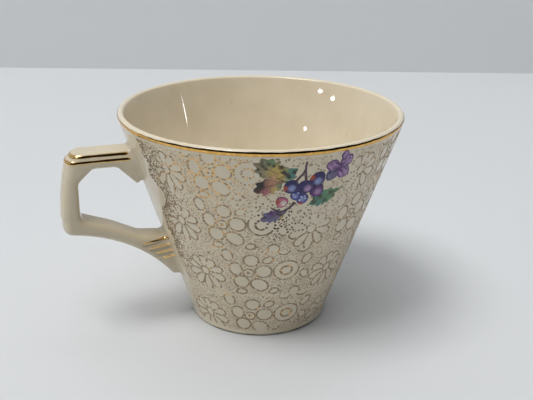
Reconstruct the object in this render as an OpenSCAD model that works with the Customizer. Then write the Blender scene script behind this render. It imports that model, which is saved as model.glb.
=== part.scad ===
// A conical Art Deco teacup with an angular strap handle, in glazed earthenware.
// Origin: centre of the circle the foot rests on. +Z up, the handle points along -X.
// The body and the handle are cast apart and luted together with slip. The gold print,
// the enamel spray and the gilding are thin fired layers, each a solid of its own.

/* [Body] */
// Diameter over the rim
rim_d = 89.4; // [82:0.2:96]
// Height of the cup on its foot
cup_h = 69.5; // [66:0.5:75]
// Diameter of the foot
foot_d = 45.4; // [43:0.2:48]
// Thickness of the wall
wall_t = 2.6; // [2.4:0.1:3.2]
// Thickness of the floor above the foot's recess
floor_t = 3.5; // [3:0.5:5]
// Radius between the floor and the wall inside
well_r = 8; // [4:1:12]

/* [Foot] */
// Width of the ring that the cup stands on
foot_ring_w = 3.2; // [2.5:0.1:4]
// Depth of the recess inside the foot ring
recess_h = 1.5; // [1:0.1:2]
// Height of the upright band round the foot
foot_band_h = 1.6; // [1.2:0.1:2.4]

/* [Handle] */
// Reach of the handle from the cup's axis
handle_reach = 63.9; // [62.5:0.1:66]
// Width of the handle below its bevelled top
handle_w = 9.6; // [8:0.2:11]
// Width of the flat platform on top of the handle
platform_w = 7.6; // [6:0.2:8]
// Height of the platform above the table
platform_z = 60.2; // [59.6:0.2:61]
// Height of the bevel under the platform
bevel_h = 2.4; // [1.8:0.2:2.8]
// Thickness of the slip that joins the handle to the body
slip_t = 0.4; // [0.3:0.05:0.5]

/* [Decoration] */
// Thickness of each fired layer of gold or enamel
layer_t = 0.1; // [0.08:0.01:0.12]
// Angle left without print behind the handle, in degrees
print_gap = 40; // [32:2:60]
// Width of the gilt lines on the handle
gilt_line_w = 0.6; // [0.4:0.1:0.8]
// Direction of the enamel spray round the cup, in degrees from +X
spray_angle = -93; // [-130:1:-60]

/* [Hidden] */
$fn = 96;

GLAZE = [0.86, 0.83, 0.74];
GOLD = [0.78, 0.58, 0.25];
PRINT = [0.80, 0.76, 0.66];
SLIP = [0.84, 0.80, 0.70];

// Lip: a half round as thick as the wall, tangent to both its faces
rim_r = rim_d / 2;
foot_r = foot_d / 2;
lip_round = wall_t / 2;
lip_centre = [rim_r - lip_round, cup_h - lip_round];

// The wall is a cone that leans out from the foot's band and touches the lip.
to_lip = lip_centre - [foot_r, foot_band_h];
lean = atan(to_lip[0] / to_lip[1]) + asin(lip_round / norm(to_lip));
across_wall = [cos(lean), -sin(lean)];  // unit vector out of the wall, as [radius, z]
function wall_r(z) = foot_r + tan(lean) * (z - foot_band_h);
function cone_offset(t) = t / cos(lean);

foot_round = 0.8;
floor_z = recess_h + floor_t;
well_z = floor_z + well_r;
well_centre = [wall_r(well_z) - cone_offset(wall_t + well_r), well_z];
recess_r = foot_r - foot_ring_w;
recess_round = 0.7;

// Bands of the decoration up the wall
print_low_z = foot_band_h + 0.4;
print_high_z = lip_centre[1] + lip_round * across_wall[1] - 0.2;
rim_gilt_low_z = print_high_z + 0.1;
rim_gilt_high_z = cup_h - 0.4;

// The handle, seen from the side as [distance from the axis, z, corner radius]
shoulder_z = platform_z - bevel_h;
shoulder_r = handle_reach - 2.4;
platform_r = shoulder_r - 2.4;
arch_z = platform_z - 5.1;  // underside of the strap below the platform
grip_in_r = handle_reach - 5.8;
grip_foot_z = 34.6;
grip_turn_z = 39;  // below this height the grip's outer face is upright
terminal_tip_z = 16.8;
terminal_top_z = 31.2;
side_outline = [
    [20, platform_z + 5, 0], [handle_reach + 5, platform_z + 5, 0],
    [handle_reach + 5, grip_turn_z, 0], [handle_reach, grip_turn_z, 0],
    [handle_reach, grip_foot_z, 3.2], [42.3, 30.8, 45],
    [30.3, terminal_tip_z, 1.2], [20, terminal_tip_z, 0]
];
gap_outline = [
    [20, terminal_top_z - 1.6, 0], [40.2, terminal_top_z + 0.6, 6], [48.3, 35.9, 30],
    [grip_in_r, 39.5, 2.2], [grip_in_r, 51, 2.2], [53.7, arch_z, 1.8],
    [46.7, arch_z, 2.6], [40.7, 49.1, 0.7], [38.3, 50.9, 0.4], [28, 53.5, 0]
];

// The outer end of the handle is part of a round column that bulges down to the grip.
end_centre = 53.7;
end_r = handle_reach - end_centre;
end_bow = 0.5;

// Four moulded reeds step down each side of the lower terminal.
reed_count = 4;
reed_pitch = 1.85;
reed_slope = -7.5;
reed_depth = 0.35;
reed_step_r = 2.05;
reed_top = [40.2, 29.5];

steps = 8;
function unit(v) = v / norm(v);

// Points round a closed outline, with each corner rounded to its own radius
function rounded_corner(a, b, c, r) = r == 0 ? [b] : let (
    u = unit(a - b), w = unit(c - b), half = acos(u * w) / 2,
    centre = b + unit(u + w) * r / sin(half),
    from = b + u * r / tan(half) - centre, to = b + w * r / tan(half) - centre,
    start = atan2(from[1], from[0]), end = atan2(to[1], to[0]),
    turn = end - start - 360 * round((end - start) / 360)
) [for (k = [0:steps]) centre + r * [cos(start + turn * k / steps), sin(start + turn * k / steps)]];
function xy(p) = [p[0], p[1]];
function rounded(path) = let (n = len(path)) [
    for (k = [0:n - 1])
        each rounded_corner(xy(path[(k + n - 1) % n]), xy(path[k]), xy(path[(k + 1) % n]), path[k][2])
];
// Points from a to b that bow out by the given amount at the middle
function bowed(a, b, bow) = [
    for (k = [0:steps]) let (t = k / steps) a + (b - a) * t + [4 * bow * t * (1 - t), 0]
];

// ---- shapes shared by several sub-parts

// A solid cone: the outside of the wall, grown by t
module wall_cone(t = 0) {
    g = cone_offset(t);
    translate([0, 0, foot_band_h])
        cylinder(r1 = foot_r + g, r2 = wall_r(cup_h) + g, h = cup_h - foot_band_h);
}

// The layer between two distances from the wall, from z_low to z_high
module wall_layer(t_in, t_out, z_low, z_high, angle = 360) {
    a = cone_offset(t_in);
    b = cone_offset(t_out);
    rotate_extrude(angle = angle)
        polygon([
            [wall_r(z_low) + a, z_low], [wall_r(z_low) + b, z_low],
            [wall_r(z_high) + b, z_high], [wall_r(z_high) + a, z_high]
        ]);
}

// Children are drawn with +X as the handle's direction.
module towards_handle() {
    mirror([1, 0, 0]) children();
}

// A flat outline stood up in the handle's own plane, w wide
module across_handle(w) {
    rotate([90, 0, 0]) linear_extrude(w, center = true) children();
}

// Plan and bevel of the handle, grown by g: a bevelled bar with a rounded outer end
module handle_envelope(g = 0) {
    intersection() {
        rotate([90, 0, 90]) linear_extrude(handle_reach + 10)
            polygon([
                [-handle_w / 2 - g, 0], [handle_w / 2 + g, 0], [handle_w / 2 + g, shoulder_z],
                [platform_w / 2 + g, platform_z], [-platform_w / 2 - g, platform_z],
                [-handle_w / 2 - g, shoulder_z]
            ]);
        union() {
            translate([0, -20, 0]) cube([end_centre, 40, platform_z]);
            translate([end_centre, 0, 0]) rotate_extrude()
                polygon(concat(
                    [[0, 0], [end_r + g, 0]],
                    bowed([end_r + g, grip_turn_z], [shoulder_r - end_centre + g, shoulder_z], end_bow),
                    [[platform_r - end_centre + g, platform_z], [0, platform_z]]
                ));
        }
    }
}

// A bar with round ends between two points, w wide
module rod_2d(a, b, w) {
    translate(a) circle(d = w);
    translate(b) circle(d = w);
    translate(a) rotate(atan2(b[1] - a[1], b[0] - a[0])) translate([0, -w / 2])
        square([norm(b - a), w]);
}

// Strips along one side of the lower terminal, number first to last, shifted down by drop
module reed_strips(first, last, w, drop = 0) {
    for (k = [first:last])
        let (
            tip = [reed_top[0] - k * reed_step_r, reed_top[1] - k * reed_pitch - drop],
            root_r = wall_r(tip[1]) + cone_offset(slip_t) + 0.7
        )
            rod_2d(tip, [root_r, tip[1] + (tip[0] - root_r) * tan(-reed_slope)], w);
}

// The handle without its cut against the wall
module handle_blank() {
    intersection() {
        handle_envelope();
        across_handle(handle_w + 2) difference() {
            polygon(rounded(side_outline));
            polygon(rounded(gap_outline));
        }
    }
}

// A rounded rectangle from z_low to z_high, w wide, with its corners of radius r
module rounded_rectangle(w, z_low, z_high, r) {
    translate([-w / 2 + r, z_low]) square([w - 2 * r, z_high - z_low]);
    translate([-w / 2, z_low + r]) square([w, z_high - z_low - 2 * r]);
    for (x = [-1, 1], z = [z_low + r, z_high - r])
        translate([x * (w / 2 - r), z]) circle(r);
}

// Slip squeezed out a little past the handle's end, all round it
module luting_seam(z_low, z_high, w) {
    flange = 0.7;
    towards_handle() intersection() {
        wall_layer(0, slip_t, z_low - 5, z_high + 5);
        rotate([90, 0, 90]) linear_extrude(rim_r + 5)
            rounded_rectangle(w + 2 * flange, z_low - flange, z_high + flange, 1.5);
    }
}

// A gilt line round the handle's sides and end, with its upper edge at z_top
module handle_gilt_line(z_top) {
    towards_handle() difference() {
        intersection() {
            handle_envelope(layer_t);
            translate([0, -20, z_top - gilt_line_w]) cube([handle_reach + 10, 40, gilt_line_w]);
        }
        handle_envelope();
        wall_cone(slip_t);
    }
}

// Gilding on the crests of the reeds, on the side given by side
module terminal_gilt(side) {
    towards_handle() difference() {
        translate([0, side * (handle_w + layer_t) / 2, 0])
            across_handle(layer_t) intersection() {
                reed_strips(0, reed_count - 1, gilt_line_w);
                difference() {
                    polygon(rounded(side_outline));
                    polygon(rounded(gap_outline));
                }
            }
        wall_cone(slip_t + 0.1);
    }
}

// An enamel shape: its outline, as [across, z], is laid on the print at spray_angle.
module enamel() {
    rotate(spray_angle) intersection() {
        wall_layer(layer_t, 2 * layer_t, 30, print_high_z);
        rotate([90, 0, 90]) linear_extrude(rim_r + 5) children();
    }
}

// A pointed oval, as long as length, where two equal circles cross
module leaf_2d(at, length, w, turn) {
    r = (length * length / 4 + w * w / 4) / w;
    translate(at) rotate(turn) intersection() {
        translate([0, w / 2 - r]) circle(r);
        translate([0, r - w / 2]) circle(r);
    }
}

// ---- outlines of the spray, as [across, z] on the wall

BERRIES = [[-3.1, 57.9, 2.2], [1, 57.5, 2.3], [4.3, 59.8, 2.3], [4.7, 55.9, 2.2],
           [-1.5, 54.9, 1.6], [0.6, 53.6, 1.8], [-5.4, 52.9, 1.8]];
blossom_centre = [10.2, 62.5];
petal_r = 2;
PETALS = [40, 155, 228, 318];

module berries_2d() {
    for (b = BERRIES) translate(xy(b)) circle(b[2]);
}

module blossom_2d() {
    for (a = PETALS)
        translate(blossom_centre + 2 * [cos(a), sin(a)]) circle(petal_r);
    translate(blossom_centre) circle(1);
}

module leaves_2d() {
    leaf_2d([-10.3, 64.3], 8.5, 5, 150);
    leaf_2d([-5.6, 62.6], 6, 4, 35);
    leaf_2d([-9.8, 58.4], 7.5, 4, 20);
    leaf_2d([7.6, 53.2], 7.6, 3.8, 20);
    leaf_2d([-7.6, 48.4], 6, 2.6, 15);
}

// A stalk that narrows from w at one end to half of that at the other
module stalk_2d(from, to, w) {
    side = w / 2 * [from[1] - to[1], to[0] - from[0]] / norm(to - from);
    polygon([from + side, to + side / 2, to - side / 2, from - side]);
}

module stems_2d() {
    stalk_2d([-2.9, 58.2], [-6.3, 60.9], 1);
    stalk_2d([0.9, 58.4], [0.1, 65.8], 1.1);
    stalk_2d([-3, 58.8], [0.3, 63.2], 0.9);
    stalk_2d([-3.2, 51.4], [-8, 50.3], 0.9);
    stalk_2d([10.2, 54.9], [13.4, 56], 0.7);
}

// ---- sub-parts

module cup_body() {
    outer_low = [foot_r, foot_band_h];
    lip_outer = lip_centre + lip_round * across_wall;
    lip_inner = lip_centre - lip_round * across_wall;
    well_side = well_centre + well_r * across_wall;
    color(GLAZE) rotate_extrude() {
        difference() {
            union() {
                polygon([
                    [0, 0], [foot_r - foot_round, 0], [foot_r - foot_round, foot_round],
                    [foot_r, foot_round], outer_low, lip_outer, lip_inner, well_side,
                    [well_centre[0], floor_z], [0, floor_z]
                ]);
                translate(lip_centre) circle(lip_round);
                translate([foot_r - foot_round, foot_round]) circle(foot_round);
            }
            translate(well_centre) circle(well_r);
            translate([0, -1]) square([recess_r - recess_round, recess_h + 1]);
            translate([0, -1]) square([recess_r, recess_h + 1 - recess_round]);
            translate([recess_r - recess_round, recess_h - recess_round]) circle(recess_round);
        }
    }
}

module handle() {
    color(GLAZE) towards_handle() difference() {
        handle_blank();
        wall_cone(slip_t);
        for (side = [-1, 1])
            translate([0, side * handle_w / 2, 0]) across_handle(2 * reed_depth)
                reed_strips(0, reed_count - 2, reed_pitch - gilt_line_w - 0.3, reed_pitch / 2);
    }
}

module upper_luting_seam() {
    color(SLIP) luting_seam(50.7, platform_z, handle_w);
}

module lower_luting_seam() {
    color(SLIP) luting_seam(terminal_tip_z, terminal_top_z, handle_w);
}

module gold_print_sleeve() {
    color(PRINT) rotate(180 + print_gap / 2)
        wall_layer(0, layer_t, print_low_z, print_high_z, 360 - print_gap);
}

module rim_gilding() {
    color(GOLD) rotate_extrude() difference() {
        union() {
            translate(lip_centre) circle(lip_round + layer_t);
            translate(lip_centre) rotate(-lean) translate([0, -1]) square([lip_round + layer_t, 1]);
        }
        translate(lip_centre) circle(lip_round);
        translate(lip_centre) rotate(-lean) translate([-5, -5]) square([5 + lip_round, 5]);
        square([rim_r + 5, rim_gilt_low_z]);
        translate([0, rim_gilt_high_z]) square([rim_r + 5, 5]);
        square([lip_centre[0], cup_h + 5]);
    }
}

module platform_gilt_line() {
    color(GOLD) handle_gilt_line(platform_z);
}

module shoulder_gilt_line() {
    color(GOLD) handle_gilt_line(shoulder_z);
}

module terminal_gilt_left() {
    color(GOLD) terminal_gilt(-1);
}

module terminal_gilt_right() {
    color(GOLD) terminal_gilt(1);
}

module enamel_leaves() {
    color([0.52, 0.58, 0.38]) enamel() difference() {
        leaves_2d();
        stems_2d();
        berries_2d();
        blossom_2d();
    }
}

module enamel_stems() {
    color([0.33, 0.20, 0.25]) enamel() difference() {
        stems_2d();
        berries_2d();
        blossom_2d();
    }
}

module enamel_berries() {
    color([0.25, 0.22, 0.50]) enamel() berries_2d();
}

module enamel_blossom() {
    color([0.48, 0.30, 0.55]) enamel() blossom_2d();
}

cup_body();
handle();
upper_luting_seam();
lower_luting_seam();
gold_print_sleeve();
rim_gilding();
platform_gilt_line();
shoulder_gilt_line();
terminal_gilt_left();
terminal_gilt_right();
enamel_leaves();
enamel_stems();
enamel_berries();
enamel_blossom();
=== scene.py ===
import math

import bpy
import numpy as np
from mathutils import Matrix, Vector


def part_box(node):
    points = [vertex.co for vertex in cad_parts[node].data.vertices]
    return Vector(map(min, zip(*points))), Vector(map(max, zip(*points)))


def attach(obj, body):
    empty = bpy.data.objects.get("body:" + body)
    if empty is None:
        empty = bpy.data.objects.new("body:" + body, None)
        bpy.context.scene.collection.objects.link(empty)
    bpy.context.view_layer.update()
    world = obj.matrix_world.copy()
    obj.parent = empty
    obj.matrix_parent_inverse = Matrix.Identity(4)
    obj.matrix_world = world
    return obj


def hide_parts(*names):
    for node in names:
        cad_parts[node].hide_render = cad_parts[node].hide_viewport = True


# A conical Art Deco teacup with gold lace print, an enamel berry spray and an angular gilt handle.
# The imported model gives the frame: the origin is the centre of the circle the foot rests on, +Z is
# up and the handle points along -X. Shapes are worked out in millimetres, and new_piece turns them
# into metres. Angles round the cup are in degrees from +X, counter-clockwise from above.

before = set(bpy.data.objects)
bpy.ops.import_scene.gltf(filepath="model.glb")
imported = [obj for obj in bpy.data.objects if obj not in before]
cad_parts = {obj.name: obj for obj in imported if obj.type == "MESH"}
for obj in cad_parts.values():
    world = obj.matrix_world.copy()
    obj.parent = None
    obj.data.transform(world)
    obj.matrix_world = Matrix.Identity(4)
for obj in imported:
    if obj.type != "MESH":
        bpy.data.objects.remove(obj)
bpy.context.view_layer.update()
MM = 0.001
SEED = 1931


def box_mm(node):
    """Lowest and highest corner of a CAD node, in millimetres."""
    low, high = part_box(node)
    return np.array(low) / MM, np.array(high) / MM


def widest(node, z_low, z_high):
    """Largest radius of a CAD node between two heights, in millimetres."""
    points = np.array([v.co[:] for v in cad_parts[node].data.vertices]) / MM
    points = points[(points[:, 2] >= z_low) & (points[:, 2] <= z_high)]
    return np.hypot(points[:, 0], points[:, 1]).max()


# ---- sizes, in millimetres

BODY_HIGH = box_mm("cup_body")[1]
HANDLE_LOW, HANDLE_HIGH = box_mm("handle")
SLEEVE_LOW, SLEEVE_HIGH = box_mm("gold_print_sleeve")

RIM_R = BODY_HIGH[0]
CUP_H = BODY_HIGH[2]
FOOT_BAND_H = 1.6
FOOT_R = widest("cup_body", 0, FOOT_BAND_H + 0.2)
FOOT_ROUND = 0.8
FOOT_RING_W = 3.2
RECESS_R = FOOT_R - FOOT_RING_W
RECESS_H = 1.5
RECESS_ROUND = 0.7
RING_ROUND = 0.35
WALL_T = 2.6
FLOOR_T = 3.5
FLOOR_Z = RECESS_H + FLOOR_T
WELL_R = 8
LIP_T = 2.1
LIP_ROUND = LIP_T / 2
LIP_CENTRE = np.array([RIM_R - LIP_ROUND, CUP_H - LIP_ROUND])

# The wall leans out from the foot's band and touches the lip.
TO_LIP = LIP_CENTRE - [FOOT_R, FOOT_BAND_H]
LEAN = math.atan2(TO_LIP[0], TO_LIP[1]) + math.asin(LIP_ROUND / math.hypot(*TO_LIP))
PRINT_LOW_Z = SLEEVE_LOW[2]
PRINT_HIGH_Z = SLEEVE_HIGH[2]

HANDLE_REACH = -HANDLE_LOW[0]
HALF_W = HANDLE_HIGH[1]
PLATFORM_Z = HANDLE_HIGH[2]
TERMINAL_TIP_Z = HANDLE_LOW[2]
TERMINAL_TOP_Z = 31.2
HALF_PLATFORM_W = 3.8
BEVEL_H = 2.4
SHOULDER_Z = PLATFORM_Z - BEVEL_H
STRAP = 4.4
SLIP_T = 0.4
ROOT_R = 26
END_R = 10.2
END_CENTRE = HANDLE_REACH - END_R
GRIP_TURN_Z = 39
GRIP_FOOT_Z = 34.6
GRIP_IN_R = HANDLE_REACH - 5.8
ARCH_Z = PLATFORM_Z - 5.1
END_HEIGHTS = [0, GRIP_TURN_Z, SHOULDER_Z, PLATFORM_Z]
END_RADII = [END_R, END_R, 7.8, 5.4]
END_BOW = 0.5

# The handle's outline and its finger gap, seen from the side, as
# [distance from the axis, z, corner radius]
SIDE_OUTLINE = [
    [20, PLATFORM_Z + 5, 0], [HANDLE_REACH + 5, PLATFORM_Z + 5, 0],
    [HANDLE_REACH + 5, GRIP_TURN_Z, 0], [HANDLE_REACH, GRIP_TURN_Z, 0],
    [HANDLE_REACH, GRIP_FOOT_Z, 3.2], [42.3, 30.8, 45],
    [30.3, TERMINAL_TIP_Z, 1.2], [20, TERMINAL_TIP_Z, 0],
]
GAP_OUTLINE = [
    [20, TERMINAL_TOP_Z - 1.6, 0], [40.2, TERMINAL_TOP_Z + 0.6, 6], [48.3, 35.9, 30],
    [GRIP_IN_R, 39.5, 2.2], [GRIP_IN_R, 51, 2.2], [53.7, ARCH_Z, 1.8], [46.7, ARCH_Z, 2.6],
    [40.7, 49.1, 0.7], [38.3, 50.9, 0.4], [28, 53.5, 0],
]

# The moulded reeds on each side of the lower terminal, from the top one down
REED_COUNT = 4
REED_TOP = np.array([40.2, 29.5])
REED_STEP = np.array([-2.05, -1.85])
REED_DIRECTION = np.array([-math.cos(math.radians(7.5)), math.sin(math.radians(7.5))])
REED_DEPTH = 0.4
GROOVE_HALF_W = 0.62
GROOVE_LENGTH = 14
GROOVE_START = [0.9, 0]


def wall_r(z):
    """Radius of the outside of the wall at a height."""
    return FOOT_R + math.tan(LEAN) * (z - FOOT_BAND_H)


def cos_sin(degrees):
    """Cosine and sine of an angle in degrees."""
    return math.cos(math.radians(degrees)), math.sin(math.radians(degrees))


def polar(r, turn, z):
    """Points at radii, angles in radians and heights round the cup's axis."""
    return np.stack(np.broadcast_arrays(r * np.cos(turn), r * np.sin(turn), z), -1)


def own_axes(x, y, turn):
    """Places along and across something turned by an angle in degrees."""
    c, s = cos_sin(turn)
    return c * x + s * y, c * y - s * x


def wave(angle, parts):
    """A repeatable wavy line: the sum of (size, waves, phase) parts."""
    return sum(size * np.sin(waves * angle + phase) for size, waves, phase in parts)


# ---- outlines and distances

def rounded(path, steps=10):
    """Points round a closed outline given as [x, y, corner radius]."""
    points = []
    count = len(path)
    for k, (x, y, radius) in enumerate(path):
        corner = np.array([x, y], float)
        if radius == 0:
            points.append(corner)
            continue
        before = np.array(path[k - 1][:2]) - corner
        after = np.array(path[(k + 1) % count][:2]) - corner
        before /= np.linalg.norm(before)
        after /= np.linalg.norm(after)
        half = math.acos(np.clip(before @ after, -1, 1)) / 2
        middle = (before + after) / np.linalg.norm(before + after)
        centre = corner + middle * radius / math.sin(half)
        start = corner + before * radius / math.tan(half) - centre
        end = corner + after * radius / math.tan(half) - centre
        first = math.atan2(start[1], start[0])
        turn = math.remainder(math.atan2(end[1], end[0]) - first, math.tau)
        for t in np.linspace(0, 1, steps + 1):
            angle = first + turn * t
            points.append(centre + radius * np.array([math.cos(angle), math.sin(angle)]))
    return np.array(points)


def polygon_distance(points, outline):
    """Distance from each point to a closed outline, negative inside it."""
    nearest = np.full(len(points), np.inf)
    inside = np.zeros(len(points), bool)
    for start, end in zip(outline, np.roll(outline, -1, 0)):
        edge = end - start
        away = points - start
        along = np.clip(away @ edge / (edge @ edge), 0, 1)
        nearest = np.minimum(nearest, ((away - along[:, None] * edge) ** 2).sum(1))
        if start[1] != end[1]:
            spans = (start[1] > points[:, 1]) != (end[1] > points[:, 1])
            crossing = start[0] + (points[:, 1] - start[1]) * edge[0] / edge[1]
            inside ^= spans & (points[:, 0] < crossing)
    return np.where(inside, -np.sqrt(nearest), np.sqrt(nearest))


class ProfileTable:
    """The distance to an outline, kept on a fine grid so that it is quick to look up."""

    LOW = np.array([22.0, 10.0])
    STEP = 0.1
    SHAPE = (460, 540)

    def __init__(self, outline):
        axes = [self.LOW[k] + self.STEP * np.arange(self.SHAPE[k]) for k in (0, 1)]
        points = np.stack(np.meshgrid(*axes, indexing="ij"), -1).reshape(-1, 2)
        self.values = polygon_distance(points, rounded(outline)).reshape(self.SHAPE)

    def at(self, x, y):
        """Distances at points, by linear interpolation."""
        place = (np.stack([x, y], -1) - self.LOW) / self.STEP
        place = np.clip(place, 0, np.array(self.SHAPE) - 1.001)
        cell = place.astype(int)
        i, j = cell.T
        s, t = (place - cell).T
        low = self.values[i, j] * (1 - s) + self.values[i + 1, j] * s
        high = self.values[i, j + 1] * (1 - s) + self.values[i + 1, j + 1] * s
        return low * (1 - t) + high * t


def smooth_max(a, b, k):
    """The larger of two distances, with the edge between the two shapes rounded."""
    return np.maximum(a, b) + np.maximum(k - np.abs(a - b), 0) ** 2 / (4 * k)


def smooth_min(a, b, k):
    """The smaller of two distances, with a fillet between the two shapes."""
    return -smooth_max(-a, -b, k)


def segment_distance(x, y, start, end):
    """Distance from points to a straight line between two points."""
    edge = end - start
    along = ((x - start[0]) * edge[0] + (y - start[1]) * edge[1]) / (edge @ edge)
    along = np.clip(along, 0, 1)
    return np.hypot(x - start[0] - along * edge[0], y - start[1] - along * edge[1])


SIDE_TABLE = ProfileTable(SIDE_OUTLINE)
GAP_TABLE = ProfileTable(GAP_OUTLINE)
OUTER_CROWN = 0.05
GAP_CROWN = 0.018
FLANK_BULGE = 0.25
BEVEL_ROUND = 0.5
END_ROUND = 1.4
EDGE_ROUND = 1.6
PLATFORM_ROUND = 0.45
SLIP_COVER = 0.02
SLIP_REACH = 1.4
SLIP_SPREAD = 0.9
FILLET = 1.5
HANDLE_MESH = 0.36
FILLET_MESH = 0.3


def wall_distance(p):
    """Distance outward from the wall's outer face."""
    return (np.hypot(p[:, 0], p[:, 1]) - wall_r(p[:, 2])) * math.cos(LEAN)


def groove_depth(r, z):
    """Depth of the grooves between the reeds, in from the handle's side."""
    depth = np.zeros(len(r))
    for k in range(REED_COUNT - 1):
        start = REED_TOP + (k + 0.5) * REED_STEP + GROOVE_START
        end = start + REED_DIRECTION * GROOVE_LENGTH
        away = segment_distance(r, z, start, end) / GROOVE_HALF_W
        depth = np.maximum(depth, REED_DEPTH * np.maximum(1 - away ** 2, 0))
    return depth


def handle_distance(p):
    """Distance from points to the handle's surface, negative inside."""
    r, y, z = -p[:, 0], np.abs(p[:, 1]), p[:, 2]
    side = SIDE_TABLE.at(r, z)
    gap = -GAP_TABLE.at(r, z)
    profile = np.maximum(side + OUTER_CROWN * y ** 2, gap + GAP_CROWN * y ** 2)
    middle = np.clip(-np.maximum(side, gap) / (STRAP / 2), 0, 1)
    flank = y - HALF_W + FLANK_BULGE * (1 - middle) ** 2 + groove_depth(r, z)
    inset = HALF_W - HALF_PLATFORM_W
    bevel = ((y - HALF_W) * BEVEL_H + (z - SHOULDER_Z) * inset) / math.hypot(BEVEL_H, inset)
    flank = smooth_max(flank, bevel, BEVEL_ROUND)
    rise = np.clip((z - GRIP_TURN_Z) / (SHOULDER_Z - GRIP_TURN_Z), 0, 1)
    end_r = np.interp(z, END_HEIGHTS, END_RADII) + 4 * END_BOW * rise * (1 - rise)
    end = np.hypot(np.maximum(r - END_CENTRE, 0), y) - end_r
    section = smooth_max(flank, end, END_ROUND)
    body = smooth_max(section, profile, EDGE_ROUND)
    return smooth_max(body, z - PLATFORM_Z, PLATFORM_ROUND)


def trimmed_handle(p):
    """The handle, cut off where the slip joins it to the wall."""
    return np.maximum(handle_distance(p), SLIP_T - wall_distance(p))


def slip_fillet(p):
    """The slip between the handle and the wall, with a small fillet all round."""
    handle = handle_distance(p) + SLIP_COVER
    wall = wall_distance(p)
    joined = smooth_min(handle, wall + SLIP_COVER, FILLET)
    near = np.maximum(handle - SLIP_REACH, np.abs(wall - 0.6) - SLIP_SPREAD)
    return np.maximum(joined, near)


def gradient(distance, p):
    """Unit normals of a distance field at points."""
    reach = 0.01
    slopes = [distance(p + reach * axis) - distance(p - reach * axis) for axis in np.eye(3)]
    slopes = np.stack(slopes, -1)
    return slopes / np.maximum(np.linalg.norm(slopes, axis=1, keepdims=True), 1e-9)


def settle(distance, p, rounds=3):
    """Points moved onto the surface where the distance is zero."""
    for _ in range(rounds):
        p = p - gradient(distance, p) * distance(p)[:, None]
    return p


def surface_net(distance, low, high, step):
    """Closed quad mesh of the surface where a distance field is zero."""
    axes = [np.arange(a, b + step, step) for a, b in zip(low, high)]
    grid = np.stack(np.meshgrid(*axes, indexing="ij"), -1)
    inside = (distance(grid.reshape(-1, 3)) < 0).reshape(grid.shape[:3])
    cells = np.array(inside.shape) - 1
    count = sum(
        inside[i:cells[0] + i, j:cells[1] + j, k:cells[2] + k].astype(int)
        for i in (0, 1) for j in (0, 1) for k in (0, 1)
    )
    mixed = (count > 0) & (count < 8)
    number = np.full(mixed.shape, -1)
    number[mixed] = np.arange(mixed.sum())
    vertices = np.array(low) + (np.argwhere(mixed) + 0.5) * step
    quads = []
    for axis in range(3):
        u, v = np.eye(3, dtype=int)[(axis + 1) % 3], np.eye(3, dtype=int)[(axis + 2) % 3]
        first = np.take(inside, np.arange(cells[axis]), axis)
        second = np.take(inside, np.arange(1, cells[axis] + 1), axis)
        for start, ring in ((first & ~second, 1), (second & ~first, -1)):
            edges = np.argwhere(start)
            loop = [edges - u - v, edges - v, edges, edges - u][::ring]
            quads.append(np.stack([number[tuple(corner.T)] for corner in loop], -1))
    quads = np.concatenate(quads)
    vertices = settle(distance, vertices)
    for _ in range(3):
        vertices = settle(distance, neighbour_mean(vertices, quads), 2)
    return vertices, quads


def neighbour_mean(vertices, quads):
    """Each vertex moved to the mean of those it shares an edge with."""
    total = np.zeros_like(vertices)
    count = np.zeros(len(vertices))
    for k in range(4):
        here, there = quads[:, k], quads[:, (k + 1) % 4]
        np.add.at(total, here, vertices[there])
        np.add.at(total, there, vertices[here])
        np.add.at(count, here, 1)
        np.add.at(count, there, 1)
    return total / np.maximum(count, 1)[:, None]


# ---- making pieces

def add_object(name, data):
    """A new object in the scene."""
    item = bpy.data.objects.new(name, data)
    bpy.context.scene.collection.objects.link(item)
    return item


def link_mesh(name, vertices, faces, material):
    """A smooth-shaded mesh object from points in millimetres."""
    mesh = bpy.data.meshes.new(name)
    mesh.from_pydata((np.asarray(vertices, float) * MM).tolist(), [], [list(f) for f in faces])
    mesh.shade_smooth()
    mesh.materials.append(material)
    return add_object(name, mesh)


def new_piece(name, vertices, faces, material, slot, *nodes):
    """A piece of the cup that stands for CAD nodes."""
    piece = link_mesh(name, vertices, faces, material)
    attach(piece, "root")
    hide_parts(*nodes)
    return piece


def paint(piece, colours):
    """Stores one colour for each vertex."""
    layer = piece.data.color_attributes.new("paint", "FLOAT_COLOR", "POINT")
    rgba = np.ones((len(colours), 4))
    rgba[:, :3] = colours
    layer.data.foreach_set("color", rgba.ravel())


def grid_faces(rows, columns, offset=0, cyclic=False, flip=False):
    """Quads between the rows and columns of a grid of vertices."""
    faces = []
    for i in range(rows if cyclic else rows - 1):
        for j in range(columns - 1):
            a, b = i * columns + j, (i + 1) % rows * columns + j
            face = [offset + a, offset + b, offset + b + 1, offset + a + 1]
            faces.append(face[::-1] if flip else face)
    return faces


def raised_strip(base, normals, heights, sink=0.06, cyclic=False):
    """Closed thin layer over a grid of surface points, as vertices and faces."""
    rows, columns = base.shape[:2]
    top = base + normals * heights[..., None]
    under = base - normals * sink
    vertices = np.concatenate([top.reshape(-1, 3), under.reshape(-1, 3)])
    below = rows * columns
    faces = grid_faces(rows, columns, 0, cyclic)
    faces += grid_faces(rows, columns, below, cyclic, flip=True)
    for i in range(rows if cyclic else rows - 1):
        a, b = i * columns, (i + 1) % rows * columns
        faces.append([a, below + a, below + b, b])
        last = columns - 1
        faces.append([b + last, below + b + last, below + a + last, a + last])
    if not cyclic:
        end = (rows - 1) * columns
        for j in range(columns - 1):
            faces.append([j, j + 1, below + j + 1, below + j])
            faces.append([end + j + 1, end + j, below + end + j, below + end + j + 1])
    return vertices, faces


# ---- materials

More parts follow.
